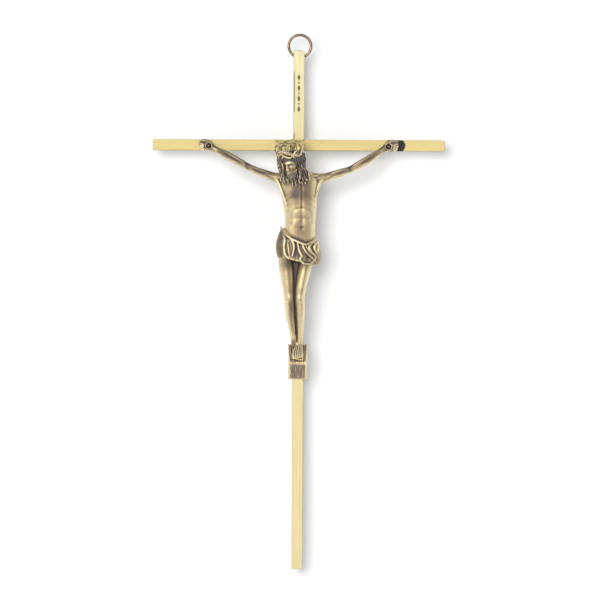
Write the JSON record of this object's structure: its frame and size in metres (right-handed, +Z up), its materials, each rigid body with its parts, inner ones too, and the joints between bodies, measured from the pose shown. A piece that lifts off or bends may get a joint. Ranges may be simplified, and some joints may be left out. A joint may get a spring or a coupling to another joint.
{
  "type": "wall crucifix",
  "caption": "Slim brass wall crucifix: halved square bars, cast antique figure with thorn crown, wedge footrest, and a swinging wire ring to hang it by.",
  "frame": {"origin": "on the wall plane at the back of the bars, where their middle lines cross", "axes": "+Z up the upright, +X along the crossbar to the viewer's right, +Y into the wall"},
  "size_m": [0.1384, 0.0251, 0.2539],
  "materials": {
    "polished_bar": "polished, satin",
    "ring_wire": "drawn wire",
    "antique_casting": "antiqued, dark in the hollows and rubbed bright on the high places",
    "dark_casting": "dark antiqued",
    "screw_metal": "turned"
  },
  "bodies": {
    "cross": {"upright_bar": "polished_bar", "crossbar": "polished_bar", "crossing_rivet": "polished_bar", "corpus_body": "antique_casting", "corpus_right_arm": "antique_casting", "corpus_left_arm": "antique_casting", "crown_of_thorns": "antique_casting", "footrest": "dark_casting", "hand_pins": "dark_casting", "corpus_screw": "screw_metal", "footrest_screw": "screw_metal"},
    "ring": {"hanging_ring": "ring_wire"}
  },
  "joints": [
    {"name": "ring_swing", "type": "hinge", "parent": "cross", "child": "ring", "pos_m": [0, -0.002, 0.0423], "axis": [1, 0, 0], "range_deg": [-160, 160]}
  ]
}
